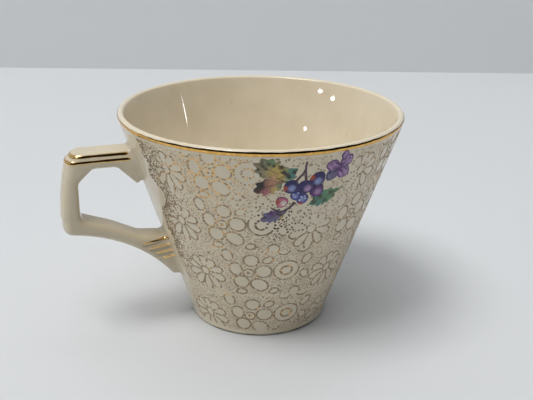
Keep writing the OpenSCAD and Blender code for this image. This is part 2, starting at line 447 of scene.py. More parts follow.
def new_material(name):
    """An empty principled material, with its node tree and shader."""
    material = bpy.data.materials.new(name)
    material.use_nodes = True
    tree = material.node_tree
    shader = next(n for n in tree.nodes if n.type == "BSDF_PRINCIPLED")
    return material, tree, shader


def object_position(tree):
    """The object's own coordinates, in metres."""
    return tree.nodes.new("ShaderNodeTexCoord").outputs["Object"]


def noise(tree, scale, detail=3, roughness=0.5):
    """Noise over the object's own coordinates, scale in cycles per metre."""
    node = tree.nodes.new("ShaderNodeTexNoise")
    node.inputs["Scale"].default_value = scale
    node.inputs["Detail"].default_value = detail
    node.inputs["Roughness"].default_value = roughness
    tree.links.new(object_position(tree), node.inputs["Vector"])
    return node.outputs["Fac"]


def ramp(tree, value, stops):
    """A colour ramp through (position, colour) stops."""
    node = tree.nodes.new("ShaderNodeValToRGB")
    elements = node.color_ramp.elements
    while len(elements) < len(stops):
        elements.new(0.5)
    for element, (position, colour) in zip(elements, stops):
        element.position = position
        element.color = (*colour, 1)
    tree.links.new(value, node.inputs["Fac"])
    return node.outputs["Color"]


def remap(tree, value, low, high, new_low, new_high):
    """A value moved from one range to another, and kept within it."""
    node = tree.nodes.new("ShaderNodeMapRange")
    names = ("From Min", "From Max", "To Min", "To Max")
    for name, number in zip(names, (low, high, new_low, new_high)):
        node.inputs[name].default_value = number
    tree.links.new(value, node.inputs["Value"])
    return node.outputs["Result"]


def mix(tree, amount, first, second, blend="MIX"):
    """Mixes two colours, each a socket or an RGB tuple, by a socket or a number."""
    node = tree.nodes.new("ShaderNodeMix")
    node.data_type = "RGBA"
    node.blend_type = blend
    for index, value in ((0, amount), (6, first), (7, second)):
        socket = node.inputs[index]
        if isinstance(value, bpy.types.NodeSocket):
            tree.links.new(value, socket)
        elif isinstance(value, tuple):
            socket.default_value = (*value, 1)
        else:
            socket.default_value = value
    return node.outputs[2]


def bump(tree, shader, height, strength, distance=0.0001):
    """A bump on a shader's surface, its distance in metres."""
    node = tree.nodes.new("ShaderNodeBump")
    node.inputs["Strength"].default_value = strength
    node.inputs["Distance"].default_value = distance
    tree.links.new(height, node.inputs["Height"])
    tree.links.new(node.outputs["Normal"], shader.inputs["Normal"])


def height_above_table(tree):
    """Z of the object's own coordinates, which is the height above the table."""
    split = tree.nodes.new("ShaderNodeSeparateXYZ")
    tree.links.new(object_position(tree), split.inputs["Vector"])
    return split.outputs["Z"]


def specks(tree, scale, size):
    """1 inside sparse small round specks, 0 elsewhere."""
    cells = tree.nodes.new("ShaderNodeTexVoronoi")
    cells.inputs["Scale"].default_value = scale
    tree.links.new(object_position(tree), cells.inputs["Vector"])
    return remap(tree, cells.outputs["Distance"], size, size * 0.6, 0, 1)


GLAZE_LIGHT = (0.79, 0.705, 0.55)
GLAZE_DARK = (0.74, 0.655, 0.50)
# A darker copy of the cup's glaze for the handle: painted shade, because the handle's sides face away
# from the light
SHADED_GLAZE_LIGHT = (0.66, 0.58, 0.43)
SHADED_GLAZE_DARK = (0.60, 0.52, 0.375)
CLAY = (0.55, 0.47, 0.36)
CLAY_PALE = (0.62, 0.55, 0.44)
SPECK = (0.25, 0.17, 0.10)
# Painted contact shadow: a brownish dark colour along the bottom of the foot
FOOT_PAINTED_SHADE = (0.13, 0.095, 0.055)


def glaze_material(name, light, shade):
    """Cream glaze: faint mottling, a few iron specks and a slightly uneven, glossy surface."""
    material, tree, shader = new_material(name)
    mottle = remap(tree, noise(tree, 90, 4, 0.6), 0.35, 0.65, 0, 1)
    colour = mix(tree, mottle, light, shade)
    colour = mix(tree, specks(tree, 150, 0.035), colour, SPECK)
    tree.links.new(colour, shader.inputs["Base Color"])
    tree.links.new(remap(tree, noise(tree, 260), 0.3, 0.7, 0.015, 0.03), shader.inputs["Roughness"])
    shader.inputs["IOR"].default_value = 1.5
    bump(tree, shader, noise(tree, 110, 1), 0.05)
    return material


def body_material():
    """The same glaze with a painted contact shadow, brownish, along the foot's edge, and wiped off the
    ring that it rests on.
    """
    material = glaze_material("cup_glaze", GLAZE_LIGHT, GLAZE_DARK)
    tree = material.node_tree
    shader = next(n for n in tree.nodes if n.type == "BSDF_PRINCIPLED")
    glazed = shader.inputs["Base Color"].links[0].from_socket
    height = height_above_table(tree)
    # Painted shade along the foot's bottom millimetre, standing in for the contact shadow
    painted_contact_shade = mix(tree, remap(tree, noise(tree, 120, 2), 0.35, 0.6, 0.3, 1), glazed, FOOT_PAINTED_SHADE)
    edge = mix(tree, remap(tree, height, 0.0010, 0.0006, 0, 1), glazed, painted_contact_shade)
    bare = remap(tree, height, 0.00035, 0.0002, 0, 1)
    clay = mix(tree, noise(tree, 900, 5, 0.7), CLAY, CLAY_PALE)
    tree.links.new(mix(tree, bare, edge, clay), shader.inputs["Base Color"])
    return material


def gold_material(name, bright, thin, roughness):
    """Fired liquid gold, brushed on unevenly and rubbed thin in places."""
    material, tree, shader = new_material(name)
    worn = remap(tree, noise(tree, 700, 4, 0.6), 0.42, 0.68, 0, 1)
    tree.links.new(mix(tree, worn, bright, thin), shader.inputs["Base Color"])
    shader.inputs["Metallic"].default_value = 1
    uneven = remap(tree, noise(tree, 1500), 0.3, 0.7, roughness, roughness * 2)
    tree.links.new(uneven, shader.inputs["Roughness"])
    bump(tree, shader, noise(tree, 900, 2), 0.1)
    return material


def painted_material(name, metallic, roughness, grain, grain_scale):
    """Colours from the mesh's own paint, broken up by a fine grain."""
    material, tree, shader = new_material(name)
    source = tree.nodes.new("ShaderNodeVertexColor")
    source.layer_name = "paint"
    streaks = remap(tree, noise(tree, grain_scale, 4, 0.65), 0.3, 0.7, 1 - grain, 1 + grain * 0.6)
    colour = mix(tree, 1.0, source.outputs["Color"], streaks, "MULTIPLY")
    tree.links.new(colour, shader.inputs["Base Color"])
    shader.inputs["Metallic"].default_value = metallic
    uneven = remap(tree, noise(tree, grain_scale * 2), 0.3, 0.7, roughness, roughness * 1.5)
    tree.links.new(uneven, shader.inputs["Roughness"])
    bump(tree, shader, noise(tree, grain_scale, 3), 0.15)
    return material


# ---- the body

def arc(centre, radius, first, last, steps):
    """Points along a circle, between two angles in degrees."""
    angles = np.radians(np.linspace(first, last, steps + 1))
    return [(centre[0] + radius * math.cos(a), centre[1] + radius * math.sin(a)) for a in angles]


def straight(start, end, steps):
    """Points between two points, without the two themselves."""
    start, end = np.array(start), np.array(end)
    return [tuple(start + (end - start) * k / steps) for k in range(1, steps)]


def body_profile():
    """The cup's section from the middle underneath, out, up over the lip and back to the middle."""
    lean = math.degrees(LEAN)
    recess_edge = (RECESS_R - RECESS_ROUND, RECESS_H - RECESS_ROUND)
    well_z = FLOOR_Z + WELL_R
    well = (wall_r(well_z) - (WALL_T + WELL_R) / math.cos(LEAN), well_z)
    # Corners in order, as (steps of the straight before it, centre, radius, two angles, steps)
    corners = [
        (6, recess_edge, RECESS_ROUND, 90, 0, 6),
        (0, (RECESS_R + RING_ROUND, RING_ROUND), RING_ROUND, 180, 270, 5),
        (4, (FOOT_R - FOOT_ROUND, FOOT_ROUND), FOOT_ROUND, -90, 0, 8),
        (3, (FOOT_R, FOOT_BAND_H), 0, 0, 0, 0),
        (36, LIP_CENTRE, LIP_ROUND, -lean, 180 - lean, 16),
        (30, well, WELL_R, -lean, -90, 12),
        (6, (0, FLOOR_Z), 0, 0, 0, 0),
    ]
    points = [(0, RECESS_H)]
    for steps, centre, radius, first, last, turns in corners:
        bend = arc(centre, radius, first, last, turns)
        points += straight(points[-1], bend[0], steps) + bend
    return np.array(points)


def ring_faces(rings, segments):
    """Faces of a closed form made of a first pole, rings of vertices and a last pole."""
    last = 1 + (rings - 1) * segments
    faces = []
    for k in range(segments):
        follow = (k + 1) % segments
        faces.append([0, 1 + follow, 1 + k])
        for a in range(1, last, segments):
            b = a + segments
            faces.append([a + k, a + follow, b + follow, b + k])
        faces.append([last + k, last + follow, last + segments])
    return faces


def lathe(profile, segments):
    """Vertices and faces of a profile turned round Z. It starts and ends on the axis."""
    angles = np.linspace(0, math.tau, segments, endpoint=False)
    rings = [polar(r, angles, z) for r, z in profile[1:-1]]
    poles = [[[0, 0, profile[k][1]]] for k in (0, -1)]
    return np.concatenate([poles[0], *rings, poles[1]]), ring_faces(len(rings), segments)


BODY_SWELL = [(0.05, 2, 0.6), (0.03, 3, 2.1), (0.01, 7, 4.0)]


def body_waver(vertices):
    """The slight unevenness of a hand-finished casting: most at the rim, none at the foot."""
    angle = np.arctan2(vertices[:, 1], vertices[:, 0])
    share = np.clip(vertices[:, 2] / CUP_H, 0, 1) ** 2
    swell = wave(angle, BODY_SWELL) * share
    r = np.hypot(vertices[:, 0], vertices[:, 1])
    factor = np.where(r > 1, 1 + swell / np.maximum(r, 1), 1)
    moved = vertices.copy()
    moved[:, :2] *= factor[:, None]
    return moved


def make_body():
    """The turned body: foot ring, wall, lip and well in one closed shell."""
    vertices, faces = lathe(body_profile(), 288)
    new_piece("cup_shell", body_waver(vertices), faces, body_material(), "glaze", "cup_body")


# ---- the handle

def make_handle(material):
    """The strap handle, meshed inside a box a little bigger than it."""
    low = (-HANDLE_REACH - 1, -HALF_W - 1, TERMINAL_TIP_Z - 1)
    high = (-ROOT_R, HALF_W + 1, PLATFORM_Z + 1)
    vertices, quads = surface_net(trimmed_handle, low, high, HANDLE_MESH)
    new_piece("handle_casting", vertices, quads, material, "glaze", "handle")


def make_fillets(material):
    """The slip at both ends of the handle, each meshed inside its own box."""
    around = HALF_W + 2.5
    for name, node, r_low, r_high, z_low, z_high in (
        ("upper_slip_fillet", "upper_luting_seam", 36, 46, 47, PLATFORM_Z + 2),
        ("lower_slip_fillet", "lower_luting_seam", 25, 38, TERMINAL_TIP_Z - 3, TERMINAL_TOP_Z + 3),
    ):
        low, high = (-r_high, -around, z_low), (-r_low, around, z_high)
        vertices, quads = surface_net(slip_fillet, low, high, FILLET_MESH)
        new_piece(name, vertices, quads, material, "slip", node)


def trace(distance, start, direction):
    """Points sent along a direction until they meet a surface."""
    p = start.copy()
    for _ in range(24):
        p = p + direction * np.maximum(distance(p), 0)[:, None]
    return p


def joined_handle(p):
    """Distance to the handle and its fillets together."""
    return np.minimum(handle_distance(p), slip_fillet(p))


# Where the rows of vertices run across a gilt line, close together at its edges
RIBBON_ACROSS = np.array([-0.5, -0.45, -0.2, 0.0, 0.2, 0.45, 0.5])
GOLD_RISE = 0.06
REED_GILT_W = 0.62
LINE_FROM_WALL = 1.3
LINE_STEP = 0.4
RAY_START = 20


def gilt_ribbon(name, starts, directions, widths, material, node, surface=handle_distance):
    """A gilt line on the handle. starts and directions are grids of rays, row by row along it."""
    rows, columns = starts.shape[:2]
    hits = trace(surface, starts.reshape(-1, 3), directions.reshape(-1, 3))
    normals = gradient(surface, hits)
    across = np.abs(RIBBON_ACROSS) * 2
    fullness = np.minimum(widths / widths.max() * 1.6, 1)
    heights = GOLD_RISE * (1 - 0.4 * across ** 20)[None, :] * fullness[:, None]
    grid = (rows, columns, 3)
    vertices, faces = raised_strip(hits.reshape(grid), normals.reshape(grid), heights)
    return new_piece(name, vertices, faces, material, "gold", node)


def round_end(t, reach, least):
    """Share of a stroke's full width near its end: t away from it, where it rounds off over reach."""
    return np.sqrt(np.clip(1 - (1 - t / reach).clip(0) ** 2, least, 1))


def brush_width(rows, width, taper):
    """Widths along a brushed line: rounded ends and a slightly unsteady middle."""
    t = np.linspace(0, 1, rows)
    body = round_end(np.minimum(t, 1 - t), taper, 0.02)
    return width * body * (1 + 0.08 * np.sin(19 * t) + 0.05 * np.sin(47 * t + 1))


def line_rays(z_middle, width):
    """Rays onto the handle's flanks and outer end, for a line that runs round all three."""
    flank = np.arange(wall_r(z_middle) + LINE_FROM_WALL, END_CENTRE, LINE_STEP)
    turn = np.radians(np.linspace(-90, 90, 64))
    along = np.concatenate([
        np.stack([flank, 0 * flank - RAY_START], -1),
        np.stack([END_CENTRE + RAY_START * np.cos(turn), RAY_START * np.sin(turn)], -1),
        np.stack([flank[::-1], 0 * flank + RAY_START], -1),
    ])
    inward = np.concatenate([
        np.tile([0, 1], (len(flank), 1)),
        np.stack([-np.cos(turn), -np.sin(turn)], -1),
        np.tile([0, -1], (len(flank), 1)),
    ])
    rows, columns = len(along), len(RIBBON_ACROSS)
    widths = brush_width(rows, width, 0.02)
    z = z_middle + 0.05 * np.sin(np.linspace(0, 9, rows))[:, None] - widths[:, None] * RIBBON_ACROSS
    starts = np.stack([-np.tile(along[:, :1], columns), np.tile(along[:, 1:], columns), z], -1)
    directions = np.zeros((rows, columns, 3))
    directions[..., 0] = -inward[:, :1]
    directions[..., 1] = inward[:, 1:]
    return starts, directions, widths


def make_gilt_lines(material):
    """The two lines round the thumb platform, on its edge and under its bevel."""
    for name, node, z_middle, width in (
        ("platform_gilt_ribbon", "platform_gilt_line", PLATFORM_Z - 0.74, 0.8),
        ("shoulder_gilt_ribbon", "shoulder_gilt_line", SHOULDER_Z + 0.02, 0.9),
    ):
        gilt_ribbon(name, *line_rays(z_middle, width), material, node)


def make_reed_gilding(material):
    """The gilt on each reed, laid on along rays from the side."""
    for side, label in ((-1, "left"), (1, "right")):
        for k in range(REED_COUNT):
            tip = REED_TOP + k * REED_STEP
            root_r = wall_r(tip[1]) - 0.2
            length = (tip[0] - root_r) / -REED_DIRECTION[0]
            rows, columns = 36, len(RIBBON_ACROSS)
            t = np.linspace(0, 1, rows)
            middle = tip + t[:, None] * length * REED_DIRECTION
            widths = REED_GILT_W * round_end(t, 0.35, 0.03) * round_end(1 - t, 0.07, 0.03)
            across = RIBBON_ACROSS * side
            z = middle[:, 1:] + widths[:, None] * across
            starts = np.stack([np.tile(-middle[:, :1], columns), np.full_like(z, side * 9.0), z], -1)
            directions = np.zeros_like(starts)
            directions[..., 1] = -side
            gilt_ribbon(
                f"reed_gilding_{label}_{k + 1}", starts, directions, widths, material,
                f"terminal_gilt_{label}", joined_handle,
            )


# ---- the gilt rim

# The brush was fullest at this angle, so the band is widest there, and its painted dark reflection is
# broadest there too
HEAVY_BAND_AT = 264
RIM_GOLD = np.array([0.80, 0.47, 0.13])
# Painted dark reflection: the band's upper part is coloured near black, standing in for the dark room
# that the gold mirrors
RIM_PAINTED_DARK_REFLECTION = np.array([0.03, 0.018, 0.01])
RIM_DROP = 0.3
# Bearings on the lip, in degrees up from level: the gold's top and where its painted dark reflection
# begins
TOP_AT, TOP_HEAVY = 25, 15
DARK_REFLECTION_AT, DARK_REFLECTION_HEAVY = 17, 10
DROP_WAVES = [(0.06, 3, 1.0), (0.05, 11, 0.4), (0.04, 29, 2.2), (0.03, 53, 5.0)]
TOP_WAVES = [(0.05, 5, 0.3), (0.04, 23, 1.9), (0.03, 61, 0.7)]
DARK_REFLECTION_WAVES = [(0.05, 7, 2.6), (0.06, 31, 0.2), (0.04, 67, 1.2)]


def make_rim_gilding(material):
    """A hand-banded line of gold on the lip's outer edge, with a painted dark reflection along its
    upper part.
    """
    rows, columns = 360, 13
    below_lip = 3
    angle = np.linspace(0, math.tau, rows, endpoint=False)[:, None]
    column = np.arange(columns)
    heavy = np.clip(np.cos(angle - math.radians(HEAVY_BAND_AT)), 0, 1) ** 4
    top = np.radians(TOP_AT + TOP_HEAVY * heavy) + wave(angle, TOP_WAVES)
    dark_reflection_from = np.radians(DARK_REFLECTION_AT - DARK_REFLECTION_HEAVY * heavy) + wave(angle, DARK_REFLECTION_WAVES)
    drop = (RIM_DROP + wave(angle, DROP_WAVES)) * np.maximum(1 - column / below_lip, 0)
    rise = np.maximum(column - below_lip, 0) / (columns - 1 - below_lip)
    bearing = (top + LEAN) * rise - LEAN
    r = LIP_CENTRE[0] + LIP_ROUND * np.cos(bearing) - drop * math.sin(LEAN)
    z = LIP_CENTRE[1] + LIP_ROUND * np.sin(bearing) - drop * math.cos(LEAN)
    base = body_waver(polar(r, angle, z).reshape(-1, 3)).reshape(rows, columns, 3)
    normals = polar(np.cos(bearing), angle, np.sin(bearing))
    heights = np.tile(GOLD_RISE * (1 - 0.8 * np.linspace(-1, 1, columns) ** 6), (rows, 1))
    vertices, faces = raised_strip(base, normals, heights, cyclic=True)
    piece = new_piece("rim_gilt_band", vertices, faces, material, "gold", "rim_gilding")
    # Painted reflection: above this bearing the gold is painted near black, as if it mirrored the dark
    # room
    colours = blend(RIM_GOLD, RIM_PAINTED_DARK_REFLECTION, ((bearing - dark_reflection_from) / 0.1).ravel())
    paint(piece, np.tile(colours, (2, 1)))


# ---- the gold print

# The transfer repeats every TILE along a strip. u runs along it and v up it, from the centre of
# its plain flower.
TILE = 41.0
STRIP_LOW, STRIP_HIGH = -9.3, 9.1
FLOWER = (0.0, 0.0)
FLOWER_PETALS = [
    (0.85, 5.1, 4.0, 4.2, 0), (4.5, 0.7, 4.6, 4.6, 0), (3.4, -4.9, 5.6, 4.3, -35),
    (-2.3, -3.8, 4.5, 4.6, 0), (-3.8, 1.3, 3.5, 4.8, 0),
]
DAISY = (-14.4, -1.9)
DAISY_PETAL_COUNT = 10
DAISY_LENGTH, DAISY_DROOP = 4.9, 0.9
DAISY_PETAL_W = 2.35
DAISY_EYE = 1.75
DAISY_EGG = 0.42
ROSETTE = (11.4, 0.8)
SMALL_RINGS = [(9.9, 9.2, 1.6), (15.4, 9.9, 1.9), (15.4, -8.6, 1.7)]
# Buds and leaves that fill the ground between the flowers, as (u, v, length, width, angle)
FILLERS = [
    (-5.9, 6.6, 4.2, 2.9, 100), (5.6, 5.4, 2.9, 2.1, 40), (17.3, 4.6, 3.8, 2.5, 65),
    (17.6, -1.6, 3.4, 2.4, -55), (8.2, -7.6, 2.8, 1.9, 15), (-2.4, -8.0, 3.2, 1.8, 5),
]
DOT_CLUSTERS = [
    (3.8, 8.8), (5.0, 9.2), (5.0, 8.0), (9.7, -5.6), (10.3, -7.6), (8.5, -8.6),
    (15.3, -4.6), (16.7, -4.1), (-10.9, 7.0), (-10.1, 6.1), (-11.6, 6.2),
]
BEAD_R = 0.4
BEAD_PITCH = 0.58
RING_R = 0.46
GROUND_R = 0.3
GROUND_PITCH = 0.76
OUTLINE_MARGIN = 0.18
OUTLINE_JITTER = 0.04
GROUND_JITTER = 0.12
OUTLINE_ROOM = 0.4
GROUND_ROOM = 0.48


def wrapped(u):
    """Distance along a strip to the nearest of the tile's repeats."""
    return np.mod(u + TILE / 2, TILE) - TILE / 2


def daisy_petals():
    """The daisy's petals, each pointed inwards and longer towards the bottom."""
    petals = []
    for k in range(DAISY_PETAL_COUNT):
        turn = 90 - 360 / DAISY_PETAL_COUNT * k
        c, s = cos_sin(turn)
        length = DAISY_LENGTH - DAISY_DROOP * s
        away = DAISY_EYE + length / 2
        place = (DAISY[0] + away * c, DAISY[1] + away * s)
        petals.append((*place, length, DAISY_PETAL_W, turn, DAISY_EGG))
    return petals


def ovals():
    """Every unprinted oval of a tile, as (u, v, length, width, angle, egg)."""
    round_ones = [(*FLOWER, 2.9, 2.9, 0), (*DAISY, 2.7, 3.0, 0), (*ROSETTE, 7.4, 7.4, 0)]
    round_ones += FLOWER_PETALS
    round_ones += [(u, v, 2 * r, 2 * r, 0) for u, v, r in SMALL_RINGS]
    round_ones += FILLERS
    return [(*shape, 0.0) for shape in round_ones] + daisy_petals()


def oval_points(u, v, length, width, turn, egg, margin, pitch):
    """Evenly spaced points round an oval, a margin outside it. egg widens its outer end."""
    a, b = length / 2 + margin, width / 2 + margin
    fine = np.linspace(0, math.tau, 181)
    path = np.stack([a * np.cos(fine), b * np.sin(fine) * (1 + egg * np.cos(fine))], -1)
    steps = np.concatenate([[0], np.cumsum(np.linalg.norm(np.diff(path, axis=0), axis=1))])
    count = max(6, round(steps[-1] / pitch))
    where = np.interp(np.arange(count) / count * steps[-1], steps, fine)
    x, y = a * np.cos(where), b * np.sin(where) * (1 + egg * np.cos(where))
    c, s = cos_sin(turn)
    return np.stack([u + c * x - s * y, v + s * x + c * y], -1)


def oval_reach(points, u, v, length, width, turn, egg):
    """How far points lie outside an oval, in millimetres, roughly."""
    du = wrapped(points[:, 0] - u)
    dv = points[:, 1] - v
    x, y = own_axes(du, dv, turn)
    swell = 1 + egg * np.clip(2 * x / length, -1, 1)
    share = np.hypot(x / (length / 2), y / (width / 2 * swell))
    return (share - 1) * min(length, width) / 2


def tile_beads():
    """Centres and radii of the gold dots of one tile, as rows of (u, v, radius)."""
    random = np.random.default_rng(SEED)
    wanted = []
    for shape in ovals():
        wanted += [(u, v, BEAD_R) for u, v in oval_points(*shape, OUTLINE_MARGIN, BEAD_PITCH)]
    wanted += [(u, v, RING_R) for u, v in oval_points(*ROSETTE, 3.5, 3.5, 0, 0, 0, 0.52)]
    wanted += [(u, v, RING_R) for u, v in oval_points(*FLOWER, 0.7, 0.7, 0, 0, 0, 0.5)]
    wanted += [(u, v, RING_R) for u, v in DOT_CLUSTERS]
    outlines = len(wanted)
    rows = np.arange(STRIP_LOW, STRIP_HIGH, GROUND_PITCH * 0.87)
    for k, v in enumerate(rows):
        for u in np.arange(-TILE / 2, TILE / 2, GROUND_PITCH) + (k % 2) * GROUND_PITCH / 2:
            wanted.append((u, v, GROUND_R))
    wanted = np.array(wanted)
    ground = np.arange(len(wanted)) >= outlines
    jitter = np.where(ground, GROUND_JITTER, OUTLINE_JITTER)
    wanted[:, :2] += random.normal(0, 1, (len(wanted), 2)) * jitter[:, None]
    reach = np.min([oval_reach(wanted, *shape) for shape in ovals()], axis=0)
    sparse = random.random(len(wanted)) < np.clip(1.35 - reach * 0.3, 0.4, 1)
    keep = ~ground | ((reach > 0.5) & sparse)
    keep &= (wanted[:, 1] > STRIP_LOW) & (wanted[:, 1] < STRIP_HIGH)
    inside_other = ~ground & (reach < 0.0)
    rosette_ring = np.hypot(wanted[:, 0] - ROSETTE[0], wanted[:, 1] - ROSETTE[1]) < 2.4
    flower_eye = np.hypot(wanted[:, 0], wanted[:, 1]) < 0.8
    keep &= ~inside_other | rosette_ring | flower_eye
    return thin_out(wanted[keep])


def thin_out(beads):
    """Drops each bead that would crowd an earlier one."""
    kept = []
    for bead in beads:
        if kept:
            others = np.array(kept)
            du = wrapped(others[:, 0] - bead[0])
            room = OUTLINE_ROOM if bead[2] > GROUND_R else GROUND_ROOM
            if np.hypot(du, others[:, 1] - bead[1]).min() < room:
                continue
        kept.append(bead)
    return np.array(kept)


# Each strip's anchor: the angle and height of a plain flower's centre
STRIPS = [(230.8, 61.6), (233.8, 44.1), (245.0, 26.6), (245.0, 8.6)]
SPRAY_ANGLE = 267.0

# The top strip is pieced: right of the spray it starts again from another flower
PIECED_FROM = 278.0
PIECED_FLOWER = 313.1

# The print stops on both sides of the handle, in degrees; its edge sways with height
EDGE_FROM_HANDLE = 17
PRINT_START = 180 + EDGE_FROM_HANDLE
PRINT_END = 540 - EDGE_FROM_HANDLE
EDGE_SWAY = [(1.0, 1, 0.0), (0.9, 3, 1.3), (0.7, 7, 0.5)]
SWAY_PER_MM = 0.14
EDGE_DENT = 7.0
DENT_Z, DENT_H = 49.5, 3.5
EDGE_SPREAD_LOW = 3.0
EDGE_LOW_Z = 26.0
EDGE_SPREAD = 4.2
EDGE_BEADS = 520

# Round the spray the ground is thinner, within (degrees, millimetres)
NEAR_SPRAY = (SPRAY_ANGLE - 1, 56)
NEAR_SPREAD = (24, 13)


def print_start(z):
    """Angle where the print starts beside the handle: further off under its upper arm."""
    dent = EDGE_DENT * np.exp(-((z - DENT_Z) / DENT_H) ** 2)
    low = EDGE_SPREAD_LOW * np.clip((18 - z) / 8, 0, 1)
    return PRINT_START + dent - low + wave(z * SWAY_PER_MM, EDGE_SWAY)


def tiled(tile, repeats, anchor, r):
    """Angles, heights along the wall and radii of a tile's dots, repeated round the cup."""
    columns = []
    for repeat in repeats:
        u = tile[:, 0] + repeat * TILE
        columns.append(np.stack([anchor + np.degrees(u / r), tile[:, 1], tile[:, 2]], -1))
    return np.concatenate(columns)


def strip_beads(number, tile, random):
    """Angles, heights and radii of one strip's gold dots."""
    anchor, z_middle = STRIPS[number]
    r = wall_r(z_middle)
    beads = tiled(tile, range(-3, 10), anchor, r)
    if number == 0:
        pieced = tiled(tile, range(-1, 8), PIECED_FLOWER, r)
        pieced = pieced[pieced[:, 0] >= PIECED_FROM + 0.8]
        beads = np.concatenate([beads[beads[:, 0] < PIECED_FROM], pieced])
    z = z_middle + beads[:, 1] * math.cos(LEAN)
    end = PRINT_END + wave(z * SWAY_PER_MM + 2, EDGE_SWAY)
    keep = (beads[:, 0] > print_start(z)) & (beads[:, 0] < end)
    keep &= (z > PRINT_LOW_Z + 0.3) & (z < PRINT_HIGH_Z - 0.5)
    keep &= ~under_enamel(beads[:, 0], z)
    near = bump_at(beads[:, 0], z, NEAR_SPRAY, NEAR_SPREAD)
    ground = beads[:, 2] <= GROUND_R
    alternate = np.arange(len(beads)) % 2 == 1
    keep &= ~(ground & (random.random(len(beads)) < 0.6 * near))
    keep &= ~(~ground & alternate & (near > 0.28))
    return np.stack([beads[:, 0], z, beads[:, 2]], -1)[keep]


def cone_points(angles, z):
    """Points on the wall's outer face."""
    return polar(wall_r(z), np.radians(angles), z)


def cone_normals(angles):
    """Unit normals of the wall's outer face."""
    return polar(math.cos(LEAN), np.radians(angles), -math.sin(LEAN))


BEAD_GOLD = np.array([0.92, 0.60, 0.24])
BEAD_TAUPE = np.array([0.41, 0.305, 0.185])
BEAD_HAZE = np.array([0.60, 0.47, 0.315])
BEAD_BROWN = np.array([0.10, 0.065, 0.035])
BEAD_DARK = np.array([0.09, 0.058, 0.03])

# Where the print gets painted glints of gold, and where its dots are darker, as (strength, place,
# spread)
PAINTED_GLINT_PLACES = [(0.75, (234, 64), (24, 12)), (0.25, (232, 44), (14, 14))]
DARKER_PLACES = [(0.8, (257, 46), (10, 6)), (0.5, (254, 67), (9, 4)), (0.4, (268, 51), (17, 12))]
JOIN_AT, JOIN_FADE = 7.0, 1.5


def bump_at(angle, z, centre, spread):
    """1 at a place on the wall, fading to 0 over a spread in (degrees, millimetres)."""
    return np.exp(-((angle - centre[0]) / spread[0]) ** 2 - ((z - centre[1]) / spread[1]) ** 2)


def strength_at(places, angle, z):
    """Sum of the bumps at several places on the wall."""
    return sum(strength * bump_at(angle, z, centre, spread) for strength, centre, spread in places)


def bead_colours(beads, z_middle, random):
    """Painted glints of gold where the light catches the print, gold along the joins of the strips,
    darker dots in some places, else worn tan.
    """
    angle, z, radius = beads.T
    chance = random.random(len(beads))
    join = np.clip((np.abs(z - z_middle) - JOIN_AT) / JOIN_FADE, 0, 1)
    patches = np.clip(np.sin(np.radians(angle) * 13 + z * 0.35), 0, 1)
    # Painted highlight: bright gold glints on the dots where the light catches them
    gold = strength_at(PAINTED_GLINT_PLACES, angle, z)
    gold += 0.6 * join * patches + 0.35 * (radius > BEAD_R * 1.14)
    gold = np.clip((gold + 0.04 - chance) * 2.5, 0, 1)
    dark = strength_at(DARKER_PLACES, angle, z)
    dark = np.clip((dark * 1.2 - chance * 0.6) * 2, 0, 1)
    haze = radius < GROUND_R * 1.2
    base = np.where(haze[:, None], BEAD_HAZE, BEAD_TAUPE)
    base = base * (0.75 + 0.5 * random.random((len(beads), 1)))
    colours = base + (BEAD_GOLD - base) * gold[:, None]
    return colours + (BEAD_DARK - colours) * dark[:, None]


# A dome's two rings, as (share of its radius, height), its top, and its number of vertices
DOME_RINGS = [(1.0, -0.03), (0.72, 0.05)]
DOME_TOP = 0.075
DOME_VERTICES = 13


def bead_mesh(beads):
    """Low six-sided domes, sunk a little in the glaze, as vertices and faces."""
    angles, z, radii = beads.T
    centre = body_waver(cone_points(angles, z))
    out = cone_normals(angles)
    turn = np.radians(angles)
    side = np.stack([-np.sin(turn), np.cos(turn), 0 * turn], -1)
    up = np.cross(out, side)
    rings = []
    for share, height in DOME_RINGS:
        for k in range(6):
            c, s = cos_sin(k * 60)
            rings.append(centre + out * height + (side * c + up * s) * (radii * share)[:, None])
    rings.append(centre + out * DOME_TOP)
    vertices = np.stack(rings, 1).reshape(-1, 3)
    pattern = [[5, 4, 3, 2, 1, 0]]
    pattern += [[k, (k + 1) % 6, 6 + (k + 1) % 6, 6 + k] for k in range(6)]
    pattern += [[6 + k, 6 + (k + 1) % 6, 12] for k in range(6)]
    starts = range(0, DOME_VERTICES * len(beads), DOME_VERTICES)
    return vertices, [[start + k for k in face] for start in starts for face in pattern]


def edge_beads(random):
    """The thick brown dots where the transfer was trimmed and rubbed down beside the handle."""
    z = random.uniform(EDGE_LOW_Z, PRINT_HIGH_Z - 1, EDGE_BEADS)
    angles = print_start(z) + np.abs(random.normal(0, EDGE_SPREAD, EDGE_BEADS)) + 0.5
    return np.stack([angles, z, np.full(EDGE_BEADS, GROUND_R)], -1)


def print_piece(name, beads, colours, material):
    """A piece of the print, from its dots and a colour for each."""
    vertices, faces = bead_mesh(beads)
    piece = new_piece(name, vertices, faces, material, "gold_print", "gold_print_sleeve")
    paint(piece, np.repeat(colours, DOME_VERTICES, axis=0))


def make_print(material):
    """The four strips of the transfer and its trimmed edge."""
    tile = tile_beads()
    for number, (_, z_middle) in enumerate(STRIPS):
        random = np.random.default_rng(SEED + number)
        beads = strip_beads(number, tile, random)
        beads[:, 2] *= 0.85 + 0.3 * random.random(len(beads))
        colours = bead_colours(beads, z_middle, random)
        print_piece(f"gold_print_band_{number + 1}", beads, colours, material)
    random = np.random.default_rng(SEED + len(STRIPS))
    beads = edge_beads(random)
    colours = blend(BEAD_BROWN, BEAD_TAUPE, random.random(len(beads)) * 1.2 - 0.3)
    print_piece("gold_print_edge", beads, colours, material)


# ---- the enamel spray

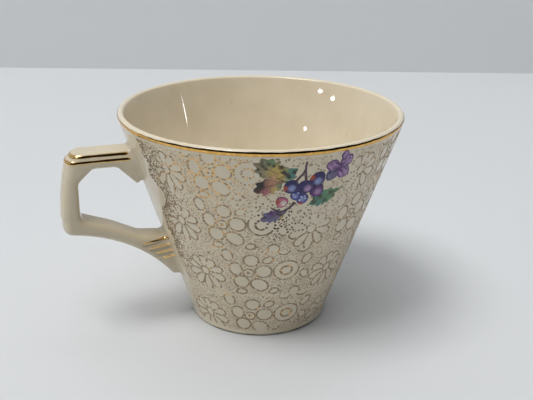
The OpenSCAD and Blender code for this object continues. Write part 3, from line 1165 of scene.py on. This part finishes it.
SPRAY_Z = 58
NAVY = (0.02, 0.014, 0.12)
BLUE = (0.05, 0.06, 0.33)
PALE_BLUE = (0.30, 0.36, 0.66)
PURPLE = (0.10, 0.02, 0.15)
LILAC = (0.42, 0.25, 0.48)
RED = (0.42, 0.06, 0.02)
PINK = (0.55, 0.16, 0.22)
WHITE = (0.78, 0.73, 0.66)
GLINT = (0.82, 0.86, 0.92)
YELLOW = (0.60, 0.44, 0.12)
TAUPE = (0.30, 0.25, 0.15)
STEM_DARK = (0.09, 0.045, 0.07)
GREEN = (0.13, 0.30, 0.14)
TEAL = (0.08, 0.27, 0.20)
PEACH = (0.50, 0.26, 0.16)
BROWN = (0.14, 0.06, 0.04)
INK = (0.015, 0.01, 0.012)
MOSS = (0.05, 0.06, 0.025)
GREY_VIOLET = (0.18, 0.16, 0.28)

# Places in the spray are (millimetres across from SPRAY_ANGLE, height), and places in one leaf,
# berry or petal are from its own middle.

# Leaves as (name, across, z, length, width, turn in degrees, lobes)
LEAVES = [
    ("leaf_upper_left", -9.3, 63.7, 8.4, 6.4, 150, 5),
    ("leaf_upper_middle", -5.0, 61.9, 6.2, 4.4, 25, 3),
    ("leaf_lower_left", -9.4, 58.3, 8.4, 5.0, 20, 4),
    ("leaf_right", 7.6, 53.2, 8.8, 4.8, 20, 5),
    ("leaf_low", -7.6, 48.1, 7.8, 3.9, 18, 4),
]
# How each leaf is painted: a wash from one colour to another, as (first, second, amount in the
# middle, reach, direction in degrees), and dabs as (colour, strength, radius, places)
LEAF_PAINT = {
    "leaf_upper_left": ((TAUPE, TAUPE, 0, 1, 0), [
        (YELLOW, 1, 2.2, [(1.7, -0.5)]), (PEACH, 0.5, 1.3, [(1.0, -2.8)]),
        (GREEN, 0.7, 1.4, [(0.2, 2.6)]),
        (MOSS, 0.95, 0.5, [(-1.9, 1.3), (-1.1, 0.4), (-2.6, -1.5), (-0.4, 1.9), (-3.2, 0.2)]),
        (MOSS, 0.95, 0.5, [(0.9, 1.4), (-2.3, 2.4)]), (INK, 0.9, 0.75, [(2.9, 0.9)]),
    ]),
    "leaf_upper_middle": ((YELLOW, TEAL, 0.5, 1.9, 0), [
        (INK, 0.95, 0.6, [(-0.7, 1.0), (0.1, 0.3), (-1.5, 1.4), (2.3, 0.9), (0.8, -0.5)]),
    ]),
    "leaf_lower_left": ((BROWN, PEACH, 0.7, 3.2, 0), [
        (GREEN, 0.7, 1.2, [(3.0, -0.2)]), (YELLOW, 0.8, 1.0, [(1.7, -1.2)]),
        (PINK, 0.7, 1.0, [(-0.9, -2.0)]),
        (INK, 0.95, 0.95, [(-3.0, 0.6), (-3.3, -0.8), (-2.1, -0.1), (-2.4, 1.2)]),
    ]),
    "leaf_right": ((TEAL, GREEN, 0.5, 4, 20), [
        (MOSS, 0.9, 0.65, [(-3.0, -1.2), (-1.4, 0.6), (2.0, 1.3), (3.2, 0.6)]),
        (MOSS, 0.9, 0.65, [(-3.6, -0.2), (0.6, -1.2)]),
    ]),
    "leaf_low": ((GREY_VIOLET, GREY_VIOLET, 0, 1, 0), [
        (BLUE, 0.3, 1.4, [(-1.5, 0)]), (YELLOW, 1, 0.9, [(3.0, -0.8)]),
        (PURPLE, 0.8, 1.2, [(-0.6, 1.5)]), (INK, 0.8, 0.5, [(1.2, 0.9), (2.2, 0.5), (-2.8, -0.4)]),
    ]),
}
MIDRIB_W = 0.28

# Berries as (across, z, radius, body, light centre, its place, place of a red edge, white glints)
BERRIES = [
    (-3.1, 57.9, 2.25, NAVY, PALE_BLUE, (0.1, -0.3), (-1.9, -0.4), []),
    (1.0, 57.5, 2.3, NAVY, LILAC, (0.6, -0.3), None, []),
    (4.3, 59.8, 2.35, NAVY, PALE_BLUE, (0.1, -0.6), (-1.9, 0.8), []),
    (4.7, 55.9, 2.2, PURPLE, LILAC, (0.2, -0.2), None, []),
    (-1.5, 54.9, 1.6, BLUE, PALE_BLUE, (-0.2, -0.1), None, [(-0.9, 0.5), (0.5, 0.9)]),
    (0.6, 53.6, 1.85, BLUE, PALE_BLUE, (0.0, 0.2), (-0.5, -1.7),
     [(-0.5, 0.9), (0.6, 1.0), (0.9, 0.2), (-0.9, -0.2)]),
    (-5.4, 52.9, 1.85, PINK, WHITE, (0.5, -0.2), (-1.6, 0.1), []),
]
BLOSSOM = (10.2, 62.6)
BLOSSOM_R = 4.2
# Petals as (across and up from the blossom's middle, length, width, turn, pale, deep and edge colour)
PETALS = [
    (-2.0, 0.9, 4.3, 3.7, 155, LILAC, PURPLE, PURPLE), (2.0, 1.8, 4.5, 3.8, 40, LILAC, PURPLE, PURPLE),
    (-1.7, -2.0, 4.1, 3.6, 228, GREY_VIOLET, PURPLE, NAVY),
    (1.8, -1.6, 4.6, 4.0, 318, LILAC, PURPLE, PURPLE), (1.0, 3.9, 2.8, 2.3, 80, LILAC, NAVY, PURPLE),
]
PETAL_SPOTS = [(0.7, 0.8), (-0.8, 0.6), (0.3, -1.0)]
ENAMEL_SINK = 0.04
BERRY_RISE = 0.3
LEAF_RISE = 0.14
STEM_RISE = 0.16
PETAL_RISE, PETAL_STEP = 0.16, 0.012


def spray_angle(across):
    """Angle round the cup of a place across the spray, at the spray's own height."""
    return SPRAY_ANGLE + np.degrees(np.asarray(across) / wall_r(SPRAY_Z))


def under_enamel(angle, z):
    """True where the print is left out under the enamel. It runs on under the first leaf."""
    across = np.radians(angle - SPRAY_ANGLE) * wall_r(SPRAY_Z)
    covered = np.hypot(across - BLOSSOM[0], z - BLOSSOM[1]) < BLOSSOM_R
    for middle, height, radius, *_ in BERRIES:
        covered |= np.hypot(across - middle, z - height) < radius + 0.2
    for _, middle, height, length, width, turn, _ in LEAVES[1:]:
        covered |= oval_inside(across - middle, z - height, length, width, turn)
    return covered


def oval_inside(x, y, length, width, turn):
    """True inside a turned oval."""
    along, across = own_axes(x, y, turn)
    return np.hypot(along / (length / 2), across / (width / 2)) < 1


def enamel_disc(name, centre, outline, rise, colour_at, slot, node, material, rings=12):
    """A raised patch of enamel. outline gives its radius at each bearing, colour_at its colours."""
    bearings = np.linspace(0, math.tau, 64, endpoint=False)
    count = len(bearings)
    share = np.append(0, np.repeat(np.sqrt(np.linspace(0, 1, rings + 1))[1:], count))
    reach = share * np.append(0, np.tile(outline(bearings), rings))
    turn = np.append(0, np.tile(bearings, rings))
    x, y = reach * np.cos(turn), reach * np.sin(turn)
    angles = spray_angle(centre[0] + x)
    base = body_waver(cone_points(angles, centre[1] + y))
    normals = cone_normals(angles)
    heights = rise * np.sqrt(np.clip(1.02 - share ** 2, 0, 1))
    top = base + normals * heights[:, None]
    # The form goes out along its underside and comes back in over its top
    inward = np.append(1 + np.arange(rings * count).reshape(rings, count)[::-1], 0)
    vertices = np.concatenate([base - normals * ENAMEL_SINK, top[inward]])
    piece = new_piece(name, vertices, ring_faces(2 * rings, count), material, slot, node)
    colours = colour_at(x, y, share)
    paint(piece, np.concatenate([colours, colours[inward]]))


def blend(a, b, amount):
    """Colours between a and b, by an amount for each point."""
    amount = np.clip(amount, 0, 1)[:, None]
    return np.asarray(a) * (1 - amount) + np.asarray(b) * amount


def spot(x, y, at, radius):
    """1 in a soft round spot, 0 outside it."""
    return np.clip(1.6 - np.hypot(x - at[0], y - at[1]) / radius, 0, 1)


def make_berries(material):
    """Round berries with a dark edge, a light centre and touches of red and white."""
    for number, (across, z, radius, body, light, light_at, red_at, glints) in enumerate(BERRIES):
        edge = PURPLE if body == PINK else NAVY

        def colour_at(x, y, share):
            colours = blend(body, light, spot(x, y, light_at, radius * 0.4))
            colours = blend(colours, edge, (share - 0.7) * 2.4)
            if red_at:
                colours = blend(colours, RED, spot(x, y, red_at, 0.75))
            for at in glints:
                colours = blend(colours, GLINT, spot(x, y, at, 0.2))
            return colours

        enamel_disc(
            f"berry_{number + 1}", (across, z), lambda b: radius * (1 + 0.04 * np.sin(3 * b + across)),
            BERRY_RISE, colour_at, "enamel_blue", "enamel_berries", material,
        )


def leaf_outline(length, width, turn, lobes, ragged):
    """Radius of a lobed leaf at each bearing."""
    def radius(bearing):
        local = bearing - math.radians(turn)
        oval = 1 / np.hypot(np.cos(local) / (length / 2), np.sin(local) / (width / 2))
        return oval * (1 + ragged * np.sin(2 * lobes * local + 0.7) + ragged * 0.4 * np.sin(13 * local))
    return radius


def leaf_colours(name, turn):
    """The painting of a leaf: its wash and dabs, then a brown midrib and a darker edge."""
    (first, second, amount, reach, direction), dabs = LEAF_PAINT[name]

    def colour_at(x, y, share):
        colours = blend(first, second, amount + own_axes(x, y, direction)[0] / reach)
        for colour, strength, radius, places in dabs:
            for at in places:
                colours = blend(colours, colour, strength * spot(x, y, at, radius))
        midrib = np.exp(-(own_axes(x, y, turn)[1] / MIDRIB_W) ** 2)
        colours = blend(colours, BROWN, 0.45 * midrib)
        return blend(colours, MOSS, 2 * (share - 0.86))
    return colour_at


def make_leaves(material):
    """Lobed leaves, each a thin raised patch."""
    for name, across, z, length, width, turn, lobes in LEAVES:
        enamel_disc(
            name, (across, z), leaf_outline(length, width, turn, lobes, 0.12), LEAF_RISE,
            leaf_colours(name, turn), "enamel_green", "enamel_leaves", material, rings=18,
        )


def make_blossom(material):
    """Overlapping petals, each a little higher than the last, streaked towards the middle."""
    for number, (across, up, length, width, turn, pale, deep, edge) in enumerate(PETALS):
        inward = np.array([-across, -up]) / math.hypot(across, up)

        def colour_at(x, y, share):
            toward = (x * inward[0] + y * inward[1]) / 1.8
            side = x * inward[1] - y * inward[0]
            colours = blend(pale, deep, 0.1 + 0.75 * toward + 0.4 * np.sin(4.5 * side + number))
            for at in PETAL_SPOTS:
                colours = blend(colours, NAVY, 0.7 * spot(x, y, at, 0.32))
            return blend(colours, edge, (share - 0.66) * 3.4)

        enamel_disc(
            f"blossom_petal_{number + 1}", (BLOSSOM[0] + across, BLOSSOM[1] + up),
            leaf_outline(length, width, turn, 2, 0.05), PETAL_RISE + PETAL_STEP * number,
            colour_at, "enamel_purple", "enamel_blossom", material, rings=14,
        )


# Stems as (name, points across and up, width at the start and at the end, colour)
STEMS = [
    ("stem_tall", [(0.9, 59.2), (0.5, 61.5), (0.2, 63.5), (0.1, 66.0)], 0.8, 0.5, STEM_DARK),
    ("stem_fork", [(-2.2, 59.4), (-1.2, 60.8), (-0.2, 62.3), (0.2, 63.8)], 0.8, 0.5, STEM_DARK),
    ("stem_leaf", [(-3.4, 58.6), (-5.2, 59.8), (-7.5, 61.2)], 0.6, 0.3, INK),
    ("stem_low", [(-1.6, 52.6), (-3.2, 50.6), (-5.8, 49.6), (-8.8, 51.2)], 0.9, 0.4, STEM_DARK),
    ("stem_right", [(9.0, 53.6), (11.2, 54.2), (13.8, 56.0)], 0.55, 0.25, GREEN),
]


def smooth_path(points, count):
    """Points along a smooth curve through the given ones."""
    points = np.array(points, float)
    padded = np.vstack([2 * points[0] - points[1], points, 2 * points[-1] - points[-2]])
    place = np.linspace(0, len(points) - 1.0001, count)
    k = place.astype(int)
    t = (place - k)[:, None]
    a, b, c, d = padded[k], padded[k + 1], padded[k + 2], padded[k + 3]
    bend = (2 * a - 5 * b + 4 * c - d) * t ** 2 + (3 * b - a - 3 * c + d) * t ** 3
    return 0.5 * (2 * b + (c - a) * t + bend)


def make_stems(material):
    """Brushed stems: thin strips along smooth paths, rounded off at the far end."""
    for name, points, first, last, colour in STEMS:
        rows, columns = 28, 5
        path = smooth_path(points, rows)
        ahead = np.gradient(path, axis=0)
        ahead /= np.linalg.norm(ahead, axis=1, keepdims=True)
        side = np.stack([ahead[:, 1], -ahead[:, 0]], -1)
        t = np.linspace(0, 1, rows)
        widths = (first + (last - first) * t) * round_end(1 - t, 0.12, 0.05)
        across = np.linspace(-0.5, 0.5, columns)
        flat = path[:, None, :] + side[:, None, :] * (widths[:, None] * across)[..., None]
        flat = flat.reshape(-1, 2)
        angles = spray_angle(flat[:, 0])
        base = body_waver(cone_points(angles, flat[:, 1])).reshape(rows, columns, 3)
        normals = cone_normals(angles).reshape(rows, columns, 3)
        heights = np.tile(STEM_RISE * (1 - (2 * across) ** 2 * 0.7), (rows, 1))
        vertices, faces = raised_strip(base, normals, heights, ENAMEL_SINK)
        piece = new_piece(name, vertices, faces, material, "enamel_brown", "enamel_stems")
        shade = 0.7 + 0.6 * np.abs(np.sin(9 * np.linspace(0, 1, len(vertices))))
        paint(piece, np.array(colour)[None, :] * shade[:, None])


# ---- the stage, lights and camera

CAMERA_AZIMUTH = 250.0
CAMERA_TARGET = np.array([2.16, -0.79, 37.94])
CAMERA_ELEVATION = 21.675
CAMERA_DISTANCE = 263.4
CAMERA_ROLL = 1.085
CAMERA_LENS = 54.03
WALL_BEHIND = 366.0
WALL_TURN = 2.0
STAGE_REACH = 8000
WALL_H = 1300


def bearing_vector(azimuth, elevation=0.0):
    """Unit vector towards an azimuth and elevation in degrees."""
    (c, s), (level, up) = cos_sin(azimuth), cos_sin(elevation)
    return np.array([c * level, s * level, up])


TOWARD_VIEWER = bearing_vector(CAMERA_AZIMUTH, CAMERA_ELEVATION)
VIEWPOINT = CAMERA_TARGET + CAMERA_DISTANCE * TOWARD_VIEWER


def aim(item, place, look, roll):
    """Puts a camera or light at a place in millimetres, looking along a direction."""
    item.location = Vector(place * MM)
    turned = Vector(look).to_track_quat("-Z", "Y").to_matrix()
    item.rotation_euler = (turned @ Matrix.Rotation(math.radians(roll), 3, "Z")).to_euler()


def make_camera():
    """The photograph's viewpoint, fitted to the cup's rim and foot."""
    data = bpy.data.cameras.new("camera")
    data.lens = CAMERA_LENS
    data.clip_start = 0.005
    camera = add_object("camera", data)
    aim(camera, VIEWPOINT, -TOWARD_VIEWER, CAMERA_ROLL)
    bpy.context.scene.camera = camera


def matte_material(name, colour, shade, roughness):
    """A plain painted board with a barely visible unevenness."""
    material, tree, shader = new_material(name)
    tree.links.new(mix(tree, noise(tree, 6, 3), colour, shade), shader.inputs["Base Color"])
    shader.inputs["Roughness"].default_value = roughness
    return material


def make_stage():
    """A white table that ends at a pale wall, a little turned from the camera's own square."""
    back = bearing_vector(CAMERA_AZIMUTH + 180)
    along = bearing_vector(CAMERA_AZIMUTH + 90 + WALL_TURN)
    foot = [back * WALL_BEHIND + side * along * STAGE_REACH for side in (-1, 1)]
    corners = foot + [foot[1] - back * STAGE_REACH, foot[0] - back * STAGE_REACH]
    table = link_mesh(
        "table_top", corners, [[0, 3, 2, 1]],
        matte_material("table_paint", (0.67, 0.69, 0.71), (0.66, 0.68, 0.70), 0.6),
    )
    rise = np.array([0, 0, WALL_H])
    wall = link_mesh(
        "back_wall", [foot[0], foot[1], foot[1] + rise, foot[0] + rise], [[0, 1, 2, 3]],
        matte_material("wall_paint", (0.83, 0.855, 0.87), (0.82, 0.845, 0.86), 0.9),
    )


def area_light(name, target, toward, distance, size, power, colour, roll=0, shape="RECTANGLE"):
    """A flat light that looks at a place, from a distance in a direction away from it."""
    data = bpy.data.lights.new(name, "AREA")
    data.shape = shape
    data.size, data.size_y = size[0] * MM, size[1] * MM
    data.energy = power
    data.color = colour
    aim(add_object(name, data), np.array(target) + toward * distance, -toward, roll)


SOFTBOX_DISTANCE = 4000
# Small bare lamps whose images shine in the glaze inside the cup, as
# (angle round the cup and height of the image on the wall, (width, height), roll, power)
LAMPS = [
    (113.3, 59.5, (26, 66), 0, 0.10),
    (40.3, 66.1, (114, 10), 8, 0.09),
    (32.6, 64.4, (110, 9), 10, 0.085),
    (45.0, 52.5, (96, 8), 7, 0.07),
]
LAMP_DISTANCE = 1500


def mirrored_sight(angle, z):
    """A place on the wall inside the cup, and where the line of sight goes on from its glaze."""
    well_top = FLOOR_Z + WELL_R
    thickness = np.interp(z, (well_top, CUP_H), (WALL_T, LIP_T))
    place = polar(wall_r(z) - thickness / math.cos(LEAN), math.radians(angle), z)
    taper = math.asin((WALL_T - LIP_T) * math.cos(LEAN) / (CUP_H - well_top))
    inward = bearing_vector(angle + 180, math.degrees(LEAN + taper))
    sight = place - VIEWPOINT
    sight /= np.linalg.norm(sight)
    return place, sight - 2 * np.dot(sight, inward) * inward


def make_lights():
    """Two softboxes on the viewer's side, a weak one behind, and the small bare lamps."""
    middle = (0, 0, 30)
    key_side = bearing_vector(194, 65)
    front_side = bearing_vector(236, 66)
    warm, less_warm, white = (1.0, 0.985, 0.965), (1.0, 0.99, 0.98), (1.0, 1.0, 1.0)
    area_light("key_softbox", middle, key_side, SOFTBOX_DISTANCE, (1600, 1600), 86, warm)
    area_light("front_softbox", middle, front_side, SOFTBOX_DISTANCE, (1800, 1800), 21, less_warm)
    area_light("back_lamp", middle, bearing_vector(70, 74), 1600, (900, 450), 2.2, white)
    for number, (angle, z, size, roll, power) in enumerate(LAMPS):
        place, toward = mirrored_sight(angle, z)
        name = f"lamp_{number + 1}"
        area_light(name, place, toward, LAMP_DISTANCE, size, power, white, roll, "ELLIPSE")


# The room's grey by height, from the horizon up, and the dark on the viewer's side
ROOM_STOPS = [
    (0.0, (0.14, 0.14, 0.14)), (0.35, (0.20, 0.20, 0.205)),
    (0.75, (0.68, 0.70, 0.72)), (1.0, (1.0, 1.0, 1.0)),
]
ROOM_DARK = (0.012, 0.012, 0.013)
ROOM_STRENGTH = 0.66


def make_world():
    """A bright ceiling over grey walls, and a dark room low down behind the viewer."""
    world = bpy.data.worlds.new("room")
    bpy.context.scene.world = world
    world.use_nodes = True
    tree = world.node_tree
    background = next(n for n in tree.nodes if n.type == "BACKGROUND")
    direction = tree.nodes.new("ShaderNodeTexCoord").outputs["Generated"]
    split = tree.nodes.new("ShaderNodeSeparateXYZ")
    tree.links.new(direction, split.inputs["Vector"])
    facing = tree.nodes.new("ShaderNodeVectorMath")
    facing.operation = "DOT_PRODUCT"
    facing.inputs[1].default_value = bearing_vector(CAMERA_AZIMUTH + 20)
    tree.links.new(direction, facing.inputs[0])
    height = ramp(tree, split.outputs["Z"], ROOM_STOPS)
    behind_viewer = remap(tree, facing.outputs["Value"], 0.0, 0.35, 0, 0.97)
    low_down = remap(tree, split.outputs["Z"], 0.62, 0.82, 1, 0)
    gloom = tree.nodes.new("ShaderNodeMath")
    gloom.operation = "MULTIPLY"
    tree.links.new(behind_viewer, gloom.inputs[0])
    tree.links.new(low_down, gloom.inputs[1])
    room = mix(tree, gloom.outputs[0], height, ROOM_DARK)
    tree.links.new(room, background.inputs["Color"])
    background.inputs["Strength"].default_value = ROOM_STRENGTH


# ---- putting it together

bpy.context.scene.view_settings.view_transform = "Standard"
make_camera()
make_stage()
make_lights()
make_world()

# The handle and its fillets get the darker copy of the glaze, which is painted shade
handle_shaded_glaze = glaze_material("handle_shaded_glaze", SHADED_GLAZE_LIGHT, SHADED_GLAZE_DARK)
gilt = gold_material("liquid_gold", (0.83, 0.56, 0.22), (0.60, 0.36, 0.14), 0.05)
make_body()
make_handle(handle_shaded_glaze)
make_fillets(handle_shaded_glaze)
make_rim_gilding(painted_material("banded_gold", 1.0, 0.08, 0.3, 900))
make_gilt_lines(gilt)
make_reed_gilding(gilt)
make_print(painted_material("gold_print", 0.4, 0.3, 0.25, 2500))
enamel = painted_material("enamel", 0.0, 0.16, 0.45, 1400)
make_leaves(enamel)
make_stems(enamel)
make_berries(enamel)
make_blossom(enamel)

bpy.context.view_layer.update()
